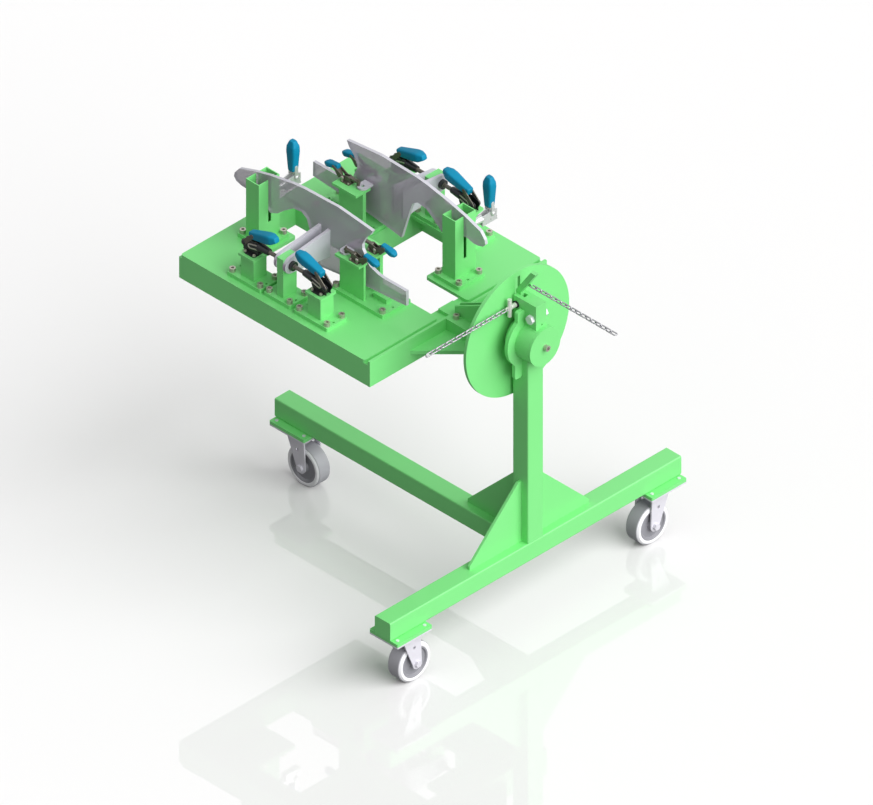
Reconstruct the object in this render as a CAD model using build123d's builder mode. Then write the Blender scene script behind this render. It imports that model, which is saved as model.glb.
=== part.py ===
from build123d import *
import os
from math import hypot

os.makedirs("parts", exist_ok=True)

# A welding fixture on a wheeled stand. A table with two mirrored work stations hangs
# on one spindle and turns over about a level axis. All sizes are millimetres.
# The origin is on the floor, in the middle of the overall box. X runs along the
# spindle from the table towards the operator, Y along the cross beam, Z up.

# Stand
tube = 60
tube_wall = 4
tube_corner = 4
cap_plate = 4
cross_length = 1128
beam_top = 244
gusset_leg = 200
gusset_thick = 8
spindle_height = 910

# Casters
wheel_d = 125
wheel_width = 50
tyre_thick = 14
hub_recess = 6
axle_r = 6
fork_sheet = 5
fork_gap = 3
caster_trail = 32
crown_r = 38
race_r = 31
race_depth = 8
kingpin_r = 6
caster_plate_long = 135
caster_plate_wide = 110
caster_plate_thick = 5
pad_thick = 10
caster_bolt_long = 105
caster_bolt_wide = 80
caster_bolt_r = 5
bolt_head = 7
bolt_proud = 1.5
end_inset = 71

# Spindle head
housing_r = 59
housing_back = -30
housing_length = 88
bearing_r = 40
bearing_width = 18
bearing_lip = 6
shoulder_r = 33
spindle_r = 20
collar_r = 26
end_cap_thick = 8
end_cap_gap = 0.5
strap_width = 27
strap_thick = 12
strap_drop = 113
strap_rise = 107
strap_round = 8
block_back = -37
block_length = 88
block_width = 40
block_rise = 135
head_bolt_r = 8
head_bolt_x = 33
head_bolt_rise = 87

# Index disc and the parts that lock it
disc_r = 200
disc_thick = 10
disc_front = -40.5
window_width = 20
window_bottom = 118
window_top = 183
pawl_width = 14
pawl_clear = 1
pawl_thick = 18.5
pawl_top = 228
pawl_top_x = 17
pawl_bend = 145
pawl_foot = 85
pawl_shoulder = 108
pawl_boss_r = 13
slot_clear = 0.3
slot_floor = 71
slot_front = -6
slot_step = 124
plunger_r = 5.5
plunger_x = -25
plunger_rise = 109
plunger_rest = 0.5
bush_r = 10.5
bush_stand = 4
handle_bar_r = 6.5
pin_stem_r = 7
handle_bar_length = 56
handle_reach = 26.5

# Chains
wire = 4
link_inside = 19.6
link_play = 0.3
link_gap = 6.4
eye_r = 6
eye_hole_r = 3
eye_thick = 4
release_links = 16
pull_links = 17
release_eye = 10.5
pull_eye_x = 10
pull_eye_rise = 179

# Table
table_offset = -647.5
plate_length = 712
plate_half_width = 343
plate_thick = 10
plate_corner = 8
table_top = -52
inner_edge = 58
strip_edge = 235
pad_edge = 192.5
arm_edge = 45.5
frame_far = 361.5
frame_near = 369.5
frame_tube_h = 70
frame_side_w = 60
frame_end_w = 50
frame_wall = 4
end_plate_thick = 8
end_plate_lip = 4
carrier_half = 47
tongue_half = 28
tongue_reach = 50
carrier_screws = (17.5, 90, 162.5)
carrier_screw_y = 25.5
tongue_thick = 12
socket_thick = 25
hub_r = 82
hub_thick = 24
web_thick = 8
web_offset = 14
web_low = 26
web_high = 126
brace_thick = 12
brace_half = 187

# Stations
base_thick = 12
base_round = 4
screw_r = 6
screw_head_r = 9
screw_head_h = 12
screw_inset = 11.5
socket_r = 5
dowel_r = 4
fit_gap = 0.2
work_thick = 10
work_plane = 128
slot_width = 11
slot_bottom = 15
post_x_mid = 250.5
post_y_mid = 130
post_wide = 80
post_deep = 50
post_wall = 3
post_rise = 156
post_base_x = 256
post_base_y = 122.5
post_base_long = 103
post_base_wide = 101
pedestal_y = 282
pedestal_side = 50
pedestal_rise = 35
pedestal_cap = 8
pedestal_out = 133.5
pedestal_in = -125.5
pedestal_base_long = 130
pedestal_base_wide = 80
stop_x = 8
stop_y = 279
stop_width = 25
stop_depth = 52
stop_rise = 88
stop_base_long = 102
stop_base_wide = 80
stop_seam = 40
column_near = 75.5
column_width = 93
column_rise = 83
column_base_near = 51.5
column_base_long = 203
column_base_wide = 111
column_base_y = 115.5
platform_thick = 8
outer_column_y = 154
outer_column_thick = 8
inner_column_y = 89
inner_column_thick = 12
outer_platform_y = 160.5
outer_platform_wide = 33
inner_platform_y = 84.5
inner_platform_wide = 57
rest_long = 51
rest_wide = 19
rest_high = 15
rest_gap = 4

# Push clamps on the pedestals, measured from the rod's axis
rod_fit = 0.05
rod_r = 6
rod_rise = 66
pad_r = 14
pad_length = 10
barrel_r = 14
barrel_start = 22
barrel_end = 62
cheek_gap = 7
cheek_thick = 3
foot_half = 21
foot_thick = 4
barrel_taper = 6
clamp_spot_x = 17
clamp_spot_y = 16
clamp_screw_r = 2.5
clamp_head_r = 4.5
clamp_head_h = 4
lever_gap = 0.5
lever_thick = 3
lever_half = 7
pivot_r = 4
push_back = -45
push_tail = 5
push_pivot = (-27, -4)
push_grip_from = (-8, 27)
push_grip_to = (90, 54)
grip_half = 12

# Side clamps on the slotted posts, measured from the post's face and the rod's axis
side_rise = 92
side_rod_r = 5
side_pad_r = 9
side_pad_length = 7
side_barrel_r = 12
side_barrel_back = -45
side_low = -21
side_back = -97
side_tail = -55
side_pivot = (-80, 6)
side_grip_from = (-77.5, 27)
side_grip_to = (-77.5, 125)
side_flange_wide = 36
side_flange_high = 42
side_flange_thick = 5

# Hold-down clamps beside the work, measured from the platform
hold_x = 140.5
hold_outer_y = 158
hold_inner_y = 90
hold_base_long = 34
hold_base_wide = 28
hold_base_thick = 3
hold_spot_x = 12
hold_spot_y = 10.5
hold_screw_r = 2
hold_head_r = 3
hold_head_h = 3
hold_gap = 5
hold_cheek = 2
hold_reach = 40
hold_pivot = (8, 17)
hold_lever = (-12, 12)
hold_lever_half = 5
hold_grip_from = (-38, 34)
hold_grip_to = (-85, 24)
hold_grip_half = 8
spindle_bolt_r = 3

# Work pieces
lug_thick = 10
lug_r = 26
lug_rise = 66
lug_root_low = 20
lug_root_high = 110
tab_x = 91.5
tab_y = 151
inner_tab_y = 98
tab_r = 16
tab_low = 84
tab_thick = 6
tab_hole_r = 5.5

# Places worked out from the sizes above
link_step = link_inside - link_play
link_half = link_inside / 2 + wire
first_link = link_half - wire / 2
chain_reach = pull_eye_x + first_link + (pull_links - 1) * link_step + link_half
post_x = (frame_far - table_offset - chain_reach) / 2
spine_reach = 952
axis_z = spindle_height
beam_mid = beam_top - tube / 2
beam_under = beam_top - tube
pad_under = beam_under - pad_thick
plate_under = pad_under - caster_plate_thick
crown_top = plate_under - race_depth
table_x = post_x + table_offset
table_z = axis_z + table_top
base_top = table_z + base_thick
frame_top = table_z - plate_thick
frame_mid = frame_top - frame_tube_h / 2
frame_bottom = frame_top - frame_tube_h
housing_front = post_x + housing_back + housing_length
disc_face = post_x + disc_front
disc_back = disc_face - disc_thick
hub_back = disc_back - hub_thick
frame_end = table_x + frame_near
end_plate_face = frame_end + end_plate_thick


def xz(y):
    """Plane across Y, its sketch reads as world X and Z."""
    return Plane(origin=(0, y, 0), x_dir=(1, 0, 0), z_dir=(0, -1, 0))


def yz(x):
    """Plane across X, its sketch reads as world Y and Z."""
    return Plane(origin=(x, 0, 0), x_dir=(0, 1, 0), z_dir=(1, 0, 0))


def xy(z):
    """Level plane, its sketch reads as world X and Y."""
    return Plane.XY.offset(z)


def save(name, *solids):
    """Label one piece, or a group of like pieces, and write it."""
    piece = solids[0] if len(solids) == 1 else Compound(list(solids))
    piece.label = name
    export_step(piece, f"parts/{name}.step")


def square_tube(plane, side, wall, length, corner):
    """Tube with rounded corners, centred on the plane's origin and run along its normal."""
    with BuildPart() as piece:
        with BuildSketch(plane):
            RectangleRounded(side, side, corner)
            RectangleRounded(side - 2 * wall, side - 2 * wall, max(corner - wall, 0.5), mode=Mode.SUBTRACT)
        extrude(amount=length)
    return piece.part


def box_tube(plane, wide, high, wall, length):
    """Rectangular tube with its first side across the plane's X."""
    with BuildPart() as piece:
        with BuildSketch(plane):
            Rectangle(wide, high)
            Rectangle(wide - 2 * wall, high - 2 * wall, mode=Mode.SUBTRACT)
        extrude(amount=length)
    return piece.part


def block(plane, outline, depth, round_by=0):
    """Straight-sided piece from an outline, with its upright corners rounded if asked."""
    with BuildPart() as piece:
        with BuildSketch(plane) as profile:
            with BuildLine():
                Polyline(*outline, close=True)
            make_face()
            if round_by:
                fillet(profile.vertices(), round_by)
        extrude(amount=depth)
    return piece.part


# Stand

def beam(plane, length):
    """Square tube closed by a plate at each end."""
    tube_plane = plane.offset(cap_plate)
    body = square_tube(tube_plane, tube, tube_wall, length - 2 * cap_plate, tube_corner)
    caps = []
    for start in (0, length - cap_plate):
        with BuildPart() as cap:
            with BuildSketch(plane.offset(start)):
                RectangleRounded(tube, tube, tube_corner)
            extrude(amount=cap_plate)
        caps.append(cap.part)
    return body, caps


def make_stand():
    """Cross beam, spine, post, gussets and caster pads."""
    cross_plane = Plane(origin=(post_x, -cross_length / 2, beam_mid), x_dir=(1, 0, 0), z_dir=(0, 1, 0))
    cross, cross_caps = beam(cross_plane, cross_length)
    save("cross_beam", cross, *cross_caps)

    spine_far = post_x - spine_reach
    spine_near = post_x - tube / 2
    spine_plane = Plane(origin=(spine_far, 0, beam_mid), x_dir=(0, 1, 0), z_dir=(1, 0, 0))
    spine = square_tube(spine_plane.offset(cap_plate), tube, tube_wall,
                        spine_near - spine_far - cap_plate, tube_corner)
    with BuildPart() as cap:
        with BuildSketch(spine_plane):
            RectangleRounded(tube, tube, tube_corner)
        extrude(amount=cap_plate)
    save("spine_beam", spine, cap.part)

    with BuildPart() as post:
        with BuildSketch(Plane(origin=(post_x, 0, beam_top))):
            RectangleRounded(tube, tube, tube_corner)
            RectangleRounded(tube - 2 * tube_wall, tube - 2 * tube_wall, 0.5, mode=Mode.SUBTRACT)
        extrude(amount=axis_z - tube / 2 - beam_top)
        with BuildSketch(yz(post_x - tube)):
            with Locations((0, axis_z)):
                Circle(housing_r)
        extrude(amount=2 * tube, mode=Mode.SUBTRACT)
    save("post", post.part)

    nip = 12
    gussets = []
    for side in (-1, 1):
        wall = side * tube / 2
        gussets.append(block(
            yz(post_x - gusset_thick / 2),
            [(wall, beam_top), (wall + side * gusset_leg, beam_top),
             (wall + side * gusset_leg, beam_top + nip), (wall + side * nip, beam_top + gusset_leg),
             (wall, beam_top + gusset_leg)],
            gusset_thick))
    back = post_x - tube / 2
    gussets.append(block(
        xz(gusset_thick / 2),
        [(back, beam_top), (back - gusset_leg, beam_top), (back - gusset_leg, beam_top + nip),
         (back - nip, beam_top + gusset_leg), (back, beam_top + gusset_leg)],
        gusset_thick))
    save("post_gussets", *gussets)


def caster_places():
    """Name, swivel centre and the heading from the swivel to the wheel."""
    reach = cross_length / 2 - end_inset
    return [
        ("front", post_x, -reach, (0, 1)),
        ("rear", post_x, reach, (0, -1)),
        ("spine", post_x - spine_reach + end_inset, 0, (1, 0)),
    ]


def make_casters():
    """Pads, plates, bolts, swivel forks and wheels of the three casters."""
    pads = []
    plates = []
    bolts = []
    for name, x, y, heading in caster_places():
        along = Plane(origin=(x, y, 0), x_dir=(heading[0], heading[1], 0), z_dir=(0, 0, 1))
        side = Plane(origin=(x, y, 0), x_dir=(heading[0], heading[1], 0),
                     z_dir=(heading[1], -heading[0], 0))
        with BuildPart() as pad:
            with BuildSketch(along.offset(pad_under)):
                RectangleRounded(caster_plate_long, caster_plate_wide, base_round)
                with GridLocations(caster_bolt_long, caster_bolt_wide, 2, 2):
                    Circle(caster_bolt_r + slot_clear, mode=Mode.SUBTRACT)
            extrude(amount=pad_thick)
        pads.append(pad.part)
        with BuildPart() as plate:
            with BuildSketch(along.offset(plate_under)):
                RectangleRounded(caster_plate_long, caster_plate_wide, base_round)
                with GridLocations(caster_bolt_long, caster_bolt_wide, 2, 2):
                    Circle(caster_bolt_r + slot_clear, mode=Mode.SUBTRACT)
                Circle(kingpin_r + rod_fit, mode=Mode.SUBTRACT)
            extrude(amount=caster_plate_thick)
            with BuildSketch(along.offset(plate_under)):
                Circle(crown_r)
                Circle(race_r + rod_fit, mode=Mode.SUBTRACT)
            extrude(amount=slot_clear - race_depth)
        plates.append(plate.part)
        bolts.append(caster_bolts(along))
        save(f"caster_fork_{name}", *make_fork(along, side))
        save(f"wheel_{name}", *make_wheel(side))
    save("caster_pads", *pads)
    save("caster_plates", *plates)
    return [bolt for group in bolts for bolt in group]


def caster_bolts(along):
    """Four bolts up through plate and pad, hex heads below, ends just proud on top."""
    found = []
    for spot_x in (-caster_bolt_long / 2, caster_bolt_long / 2):
        for spot_y in (-caster_bolt_wide / 2, caster_bolt_wide / 2):
            with BuildPart() as bolt:
                with BuildSketch(along.offset(plate_under)):
                    with Locations((spot_x, spot_y)):
                        Circle(caster_bolt_r)
                extrude(amount=caster_plate_thick + pad_thick + bolt_proud)
                with BuildSketch(along.offset(plate_under - bolt_head)):
                    with Locations((spot_x, spot_y)):
                        RegularPolygon(1.7 * caster_bolt_r, 6)
                extrude(amount=bolt_head)
            found.append(bolt.part)
    return found


def make_fork(along, side):
    """Pressed fork with its swivel boss and king pin, and the axle bolt as a second piece."""
    leg_in = wheel_width / 2 + fork_gap
    axle_z = wheel_d / 2
    crown_z = crown_top - fork_sheet
    leg_end = 17
    with BuildPart() as fork:
        with BuildSketch(along.offset(crown_z)):
            with Locations((10, 0)):
                RectangleRounded(68, 2 * (leg_in + fork_sheet), 3)
        extrude(amount=fork_sheet)
        with BuildSketch(along.offset(crown_top)):
            Circle(race_r)
        extrude(amount=race_depth - slot_clear)
        with BuildSketch(along.offset(crown_top)):
            Circle(kingpin_r)
        extrude(amount=race_depth + caster_plate_thick - slot_clear)
        for start in (leg_in, -leg_in - fork_sheet):
            with BuildSketch(side.offset(start)):
                with BuildLine():
                    Polyline((-24, crown_top), (44, crown_top), (caster_trail + leg_end, axle_z),
                             (caster_trail - leg_end, axle_z), close=True)
                make_face()
                with Locations((caster_trail, axle_z)):
                    Circle(leg_end)
                    Circle(axle_r + rod_fit, mode=Mode.SUBTRACT)
                with Locations((20, axle_z + 58)):
                    Circle(5, mode=Mode.SUBTRACT)
            extrude(amount=fork_sheet)
    with BuildPart() as axle:
        with BuildSketch(side.offset(-leg_in - fork_sheet)):
            with Locations((caster_trail, axle_z)):
                Circle(axle_r)
        extrude(amount=2 * (leg_in + fork_sheet))
        for start, thick in ((leg_in + fork_sheet, 7), (-leg_in - fork_sheet - 9, 9)):
            with BuildSketch(side.offset(start)):
                with Locations((caster_trail, axle_z)):
                    RegularPolygon(10.5, 6)
            extrude(amount=thick)
    return fork.part, axle.part


def make_wheel(side):
    """Hub with a thin web and a tyre with rounded shoulders, turned about the axle."""
    rim_r = wheel_d / 2 - tyre_thick
    half = wheel_width / 2
    hub_half = half + fork_gap - slot_clear
    centre = side.from_local_coords((caster_trail, wheel_d / 2, 0))
    turn = Plane(origin=centre, x_dir=side.z_dir, z_dir=side.y_dir)
    axis = Axis(centre, side.z_dir)
    with BuildPart() as hub:
        with BuildSketch(turn):
            with BuildLine():
                Polyline((-hub_half, axle_r + rod_fit), (hub_half, axle_r + rod_fit),
                         (hub_half, 15), (half - hub_recess, 18), (half - hub_recess, rim_r - 8),
                         (half - 1, rim_r - 4), (half - 1, rim_r), (1 - half, rim_r),
                         (1 - half, rim_r - 4), (hub_recess - half, rim_r - 8),
                         (hub_recess - half, 18), (-hub_half, 15), close=True)
            make_face()
        revolve(axis=axis)
    with BuildPart() as tyre:
        with BuildSketch(turn):
            with BuildLine():
                Polyline((1 - half, rim_r), (half - 1, rim_r), (half, rim_r + 3),
                         (half, wheel_d / 2 - 6), (half - 6, wheel_d / 2),
                         (6 - half, wheel_d / 2), (-half, wheel_d / 2 - 6),
                         (-half, rim_r + 3), close=True)
            make_face()
        revolve(axis=axis)
    return hub.part, tyre.part


# Spindle head

def ring(x, outer, inner, length, z=None):
    """Ring about the spindle axis."""
    with BuildPart() as piece:
        with BuildSketch(yz(x)):
            with Locations((0, axis_z if z is None else z)):
                Circle(outer)
                if inner:
                    Circle(inner, mode=Mode.SUBTRACT)
        extrude(amount=length)
    return piece.part


def make_head():
    """Bearing housing, bearings, strap, and the block that carries pawl and plunger."""
    back = post_x + housing_back
    with BuildPart() as housing:
        with BuildSketch(yz(back)):
            with Locations((0, axis_z)):
                Circle(housing_r)
                Circle(shoulder_r, mode=Mode.SUBTRACT)
        extrude(amount=housing_length)
        for start in (back, back + housing_length - bearing_lip - bearing_width):
            with BuildSketch(yz(start)):
                with Locations((0, axis_z)):
                    Circle(bearing_r)
            extrude(amount=bearing_lip + bearing_width, mode=Mode.SUBTRACT)
    save("bearing_housing", housing.part)

    bearings = []
    for start in (back + bearing_lip, back + housing_length - bearing_lip - bearing_width):
        bearings.append(ring(start, bearing_r, spindle_r + rod_fit, bearing_width))
    save("spindle_bearings", *bearings)

    strap_out = housing_r + strap_width
    with BuildPart() as strap:
        with BuildSketch(yz(post_x + 7 - strap_thick)):
            with Locations((0, axis_z)):
                Circle(strap_out)
            with Locations((-tube / 2 - strap_width / 2, axis_z - strap_drop / 2)):
                RectangleRounded(strap_width, strap_drop, strap_round)
            with Locations((-block_width / 2 - strap_width / 2, axis_z + strap_rise / 2)):
                RectangleRounded(strap_width, strap_rise, strap_round)
            with Locations((0, axis_z)):
                Circle(housing_r, mode=Mode.SUBTRACT)
            with Locations((strap_out / 2, axis_z)):
                Rectangle(strap_out, 3 * strap_out, mode=Mode.SUBTRACT)
            with Locations((-tube / 4, axis_z - strap_out)):
                Rectangle(tube / 2, strap_out, mode=Mode.SUBTRACT)
            with Locations((-block_width / 4, axis_z + strap_out)):
                Rectangle(block_width / 2, strap_out + 2 * strap_rise / 4, mode=Mode.SUBTRACT)
        extrude(amount=strap_thick)
    save("housing_strap", strap.part)

    front = post_x + block_back + block_length
    with BuildPart() as head:
        with BuildSketch(xz(block_width / 2)):
            with BuildLine():
                Polyline((post_x + block_back, axis_z), (front, axis_z),
                         (front, axis_z + block_rise), (post_x + block_back, axis_z + block_rise),
                         close=True)
            make_face()
        extrude(amount=block_width)
        with BuildSketch(yz(post_x + block_back)):
            with Locations((0, axis_z)):
                Circle(housing_r)
        extrude(amount=block_length, mode=Mode.SUBTRACT)
        with BuildSketch(xz(pawl_width / 2 + slot_clear)):
            with BuildLine():
                Polyline(*head_points((block_back - 1, slot_floor), (head_bolt_x, slot_floor),
                                      (head_bolt_x + 4, head_bolt_rise + pawl_boss_r + 2),
                                      (slot_front, slot_step), (slot_front, block_rise + 1),
                                      (block_back - 1, block_rise + 1)), close=True)
            make_face()
            with Locations(head_points((head_bolt_x, head_bolt_rise))):
                Circle(pawl_boss_r + 0.6)
        extrude(amount=pawl_width + 2 * slot_clear, mode=Mode.SUBTRACT)
        with BuildSketch(xz(0)):
            with Locations((post_x + plunger_x, axis_z + plunger_rise)):
                Circle(bush_r)
        extrude(amount=block_width / 2, mode=Mode.SUBTRACT)
        with BuildSketch(xz(block_width / 2)):
            with Locations((post_x + head_bolt_x, axis_z + head_bolt_rise)):
                Circle(head_bolt_r)
        extrude(amount=block_width, mode=Mode.SUBTRACT)
        with BuildSketch(yz(front)):
            with Locations((3, axis_z + 66)):
                Circle(3)
        extrude(amount=-16, mode=Mode.SUBTRACT)
    save("head_block", head.part)

    with BuildPart() as bush:
        with BuildSketch(xz(-pawl_width / 2 - slot_clear)):
            with Locations((post_x + plunger_x, axis_z + plunger_rise)):
                Circle(bush_r)
                Circle(plunger_r + rod_fit, mode=Mode.SUBTRACT)
        extrude(amount=block_width / 2 - pawl_width / 2 - slot_clear + bush_stand)
    save("plunger_bush", bush.part)


def head_points(*spots):
    """Places given from the post and the spindle axis, in world X and Z."""
    return [(post_x + x, axis_z + z) for x, z in spots]


def make_pawl():
    """Cranked index pawl on its pivot, with the eye that takes the pull chain."""
    nose = disc_front + pawl_clear
    run = (pawl_top_x - nose) / (pawl_top - pawl_bend)
    with BuildPart() as pawl:
        with BuildSketch(xz(pawl_width / 2)):
            with BuildLine():
                Polyline(*head_points((pawl_top_x, pawl_top), (pawl_top_x + pawl_thick, pawl_top),
                                      (nose + pawl_thick, pawl_bend - 2), (nose + pawl_thick, pawl_shoulder),
                                      (head_bolt_x, head_bolt_rise + pawl_boss_r),
                                      (head_bolt_x, head_bolt_rise - pawl_boss_r),
                                      (nose, pawl_foot), (nose, pawl_bend)), close=True)
            make_face()
            with Locations(head_points((head_bolt_x, head_bolt_rise))):
                Circle(pawl_boss_r)
                Circle(head_bolt_r + rod_fit, mode=Mode.SUBTRACT)
        extrude(amount=pawl_width)
        edge_x = pawl_top_x + pawl_thick - (pawl_top - pull_eye_rise) * run
        with BuildSketch(xz(eye_thick / 2)):
            with Locations(head_points(((edge_x + pull_eye_x) / 2 - 1, pull_eye_rise))):
                Rectangle(pull_eye_x - edge_x + 2, 2 * eye_r - 2)
            with Locations(head_points((pull_eye_x, pull_eye_rise))):
                Circle(eye_r)
                Circle(eye_hole_r, mode=Mode.SUBTRACT)
        extrude(amount=eye_thick)
    save("index_pawl", pawl.part)


def make_release():
    """Release pin with its T-bar and the eye that takes the release chain."""
    tip = -pawl_width / 2 - plunger_rest
    bar_y = -block_width / 2 - handle_reach
    eye_y = bar_y - release_eye
    with BuildPart() as pin:
        with BuildSketch(xz(tip)):
            with Locations(head_points((plunger_x, plunger_rise))):
                Circle(plunger_r)
        extrude(amount=tip - bar_y)
        with BuildSketch(xz(-block_width / 2 - bush_stand - plunger_rest)):
            with Locations(head_points((plunger_x, plunger_rise))):
                Circle(pin_stem_r)
        extrude(amount=-block_width / 2 - bush_stand - plunger_rest - bar_y)
        with BuildSketch(Plane(origin=(post_x + plunger_x, bar_y,
                                       axis_z + plunger_rise - handle_bar_length / 2))):
            Circle(handle_bar_r)
        extrude(amount=handle_bar_length)
        with BuildSketch(yz(post_x + plunger_x - eye_thick / 2)):
            with Locations(((bar_y + eye_y) / 2, axis_z + plunger_rise)):
                Rectangle(release_eye, 2 * eye_r - 2)
            with Locations((eye_y, axis_z + plunger_rise)):
                Circle(eye_r)
                Circle(eye_hole_r, mode=Mode.SUBTRACT)
        extrude(amount=eye_thick)
    save("release_pin", pin.part)
    return eye_y


def link(centre, run, across):
    """One chain link as a flat ring with clipped ends, long side along run."""
    half_wide = link_gap / 2 + wire
    with BuildPart() as piece:
        with BuildSketch(Plane(origin=centre, x_dir=run, z_dir=across)) as ring_sketch:
            Rectangle(2 * link_half, 2 * half_wide)
            chamfer(ring_sketch.vertices(), wire)
            Rectangle(link_inside, link_gap, mode=Mode.SUBTRACT)
        extrude(amount=wire / 2, both=True)
    return piece.part


def chain(first, run, flat, upright, count):
    """Row of links, every other one turned on edge."""
    row = []
    for number in range(count):
        step = number * link_step
        centre = tuple(first[i] + run[i] * step for i in range(3))
        row.append(link(centre, run, upright if number % 2 else flat))
    return row


def make_chains(eye_y):
    """Release chain on the pin and pull chain on the pawl."""
    release = chain((post_x + plunger_x, eye_y - first_link, axis_z + plunger_rise),
                    (0, -1, 0), (0, 0, 1), (1, 0, 0), release_links)
    save("release_chain", *release)
    pull = chain((post_x + pull_eye_x + first_link, 0, axis_z + pull_eye_rise),
                 (1, 0, 0), (0, 0, 1), (0, 1, 0), pull_links)
    save("pull_chain", *pull)


# Parts that turn with the table

def make_turning_head():
    """Spindle, index disc and end cap."""
    with BuildPart() as spindle:
        with BuildSketch(yz(hub_back)):
            with Locations((0, axis_z)):
                Circle(spindle_r)
        extrude(amount=housing_front + end_cap_gap - hub_back)
        with BuildSketch(yz(disc_face)):
            with Locations((0, axis_z)):
                Circle(collar_r)
        extrude(amount=post_x + housing_back + bearing_lip - slot_clear - disc_face)
        with BuildSketch(yz(housing_front + end_cap_gap)):
            with Locations((0, axis_z)):
                Circle(screw_r)
        extrude(amount=-30, mode=Mode.SUBTRACT)
    save("spindle", spindle.part)

    window_mid = (window_top + window_bottom) / 2
    with BuildPart() as disc:
        with BuildSketch(yz(disc_back)):
            with Locations((0, axis_z)):
                Circle(disc_r)
                Circle(spindle_r, mode=Mode.SUBTRACT)
            with Locations((0, axis_z + window_mid), (0, axis_z - window_mid)):
                Rectangle(window_width, window_top - window_bottom, mode=Mode.SUBTRACT)
        extrude(amount=disc_thick)
    save("index_disc", disc.part)
    save("end_cap", ring(housing_front + end_cap_gap, housing_r, screw_r, end_cap_thick))


def make_table():
    """Welded frame of tubes with its end plate, and the two top plates."""
    near = frame_end
    far = table_x - frame_far
    half = plate_half_width
    inner = half - frame_side_w
    tubes = []
    for side in (-1, 1):
        plane = Plane(origin=(far, side * (half - frame_side_w / 2), frame_mid),
                      x_dir=(0, 1, 0), z_dir=(1, 0, 0))
        tubes.append(box_tube(plane, frame_side_w, frame_tube_h, frame_wall, near - far))
        x_end = far + frame_end_w / 2 if side < 0 else near - frame_end_w / 2
        plane = Plane(origin=(x_end, -inner, frame_mid), x_dir=(1, 0, 0), z_dir=(0, 1, 0))
        tubes.append(box_tube(plane, frame_end_w, frame_tube_h, frame_wall, 2 * inner))
        x_arm = table_x - side * (arm_edge + frame_end_w / 2)
        y_start = inner_edge if side > 0 else -inner
        plane = Plane(origin=(x_arm, y_start, frame_mid), x_dir=(1, 0, 0), z_dir=(0, 1, 0))
        tubes.append(box_tube(plane, frame_end_w, frame_tube_h, frame_wall, inner - inner_edge))
        x_from = x_arm - side * frame_end_w / 2
        x_to = near - frame_end_w if side < 0 else far + frame_end_w
        plane = Plane(origin=(min(x_from, x_to), side * (inner_edge + frame_end_w / 2), frame_mid),
                      x_dir=(0, 1, 0), z_dir=(1, 0, 0))
        tubes.append(box_tube(plane, frame_end_w, frame_tube_h, frame_wall, abs(x_to - x_from)))
    plate_top = table_z + end_plate_lip
    with BuildPart() as end:
        with BuildSketch(yz(near)):
            with Locations((0, (frame_bottom + plate_top) / 2)):
                Rectangle(2 * half, plate_top - frame_bottom)
            with Locations((0, (frame_top + plate_top) / 2)):
                Rectangle(2 * carrier_half + 2, plate_top - frame_top, mode=Mode.SUBTRACT)
        extrude(amount=end_plate_thick)
    save("table_frame", *tubes, end.part)

    plates = []
    long_half = plate_length / 2
    for side in (-1, 1):
        outline = [(-long_half, half), (long_half, half), (long_half, inner_edge),
                   (pad_edge, inner_edge), (pad_edge, strip_edge), (-arm_edge, strip_edge),
                   (-arm_edge, inner_edge), (-long_half, inner_edge)]
        turned = [(table_x + side * u, side * v) for u, v in outline]
        plates.append(block(xy(frame_top), turned, plate_thick, plate_corner))
    save("table_plates", *plates)


def make_carrier():
    """Tongue and socket that tie the table frame to the disc, screwed together."""
    near = end_plate_face
    spots = [(near + x, side * carrier_screw_y) for x in carrier_screws for side in (-1, 1)]
    with BuildPart() as tongue:
        with BuildSketch(xy(frame_top)):
            with BuildLine():
                Polyline((near - tongue_reach, -tongue_half), (frame_end, -tongue_half),
                         (frame_end, -carrier_half), (hub_back, -carrier_half),
                         (hub_back, carrier_half), (frame_end, carrier_half),
                         (frame_end, tongue_half), (near - tongue_reach, tongue_half), close=True)
            make_face()
            with Locations(spots):
                Circle(screw_r, mode=Mode.SUBTRACT)
        extrude(amount=tongue_thick)
        for start in (web_offset, web_thick - web_offset):
            with BuildSketch(xz(start)):
                with BuildLine():
                    Polyline((near, frame_top + tongue_thick), (hub_back, frame_top + tongue_thick),
                             (hub_back, frame_top + tongue_thick + web_high),
                             (near, frame_top + tongue_thick + web_low), close=True)
                make_face()
            extrude(amount=web_thick)
        with BuildSketch(yz(hub_back)):
            with Locations((0, axis_z)):
                Circle(hub_r)
                Circle(spindle_r, mode=Mode.SUBTRACT)
        extrude(amount=hub_thick)

    socket_low = frame_top - socket_thick
    neck = brace_half - carrier_half
    with BuildPart() as socket:
        with BuildSketch(xy(socket_low)):
            with Locations(((near + hub_back) / 2, 0)):
                Rectangle(hub_back - near, 2 * carrier_half)
            with Locations(spots):
                Circle(screw_r, mode=Mode.SUBTRACT)
        extrude(amount=socket_thick)
        with BuildSketch(xy(socket_low - brace_thick)):
            with BuildLine():
                Polyline((near, -brace_half), (near + neck, -carrier_half), (hub_back, -carrier_half),
                         (hub_back, carrier_half), (near + neck, carrier_half), (near, brace_half),
                         close=True)
            make_face()
        extrude(amount=brace_thick)
    save("carrier", tongue.part, socket.part)
    return spots


# Stations

def cap_screw(plane, shank):
    """Socket cap screw with its head on the plane and its shank below it."""
    with BuildPart() as screw:
        with BuildSketch(plane):
            Circle(screw_head_r)
        extrude(amount=screw_head_h)
        with BuildSketch(plane.offset(screw_head_h)):
            RegularPolygon(socket_r, 6)
        extrude(amount=-screw_head_h / 2, mode=Mode.SUBTRACT)
        with BuildSketch(plane.offset(-shank)):
            RegularPolygon(screw_r, 12)
        extrude(amount=shank)
    return screw.part


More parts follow.
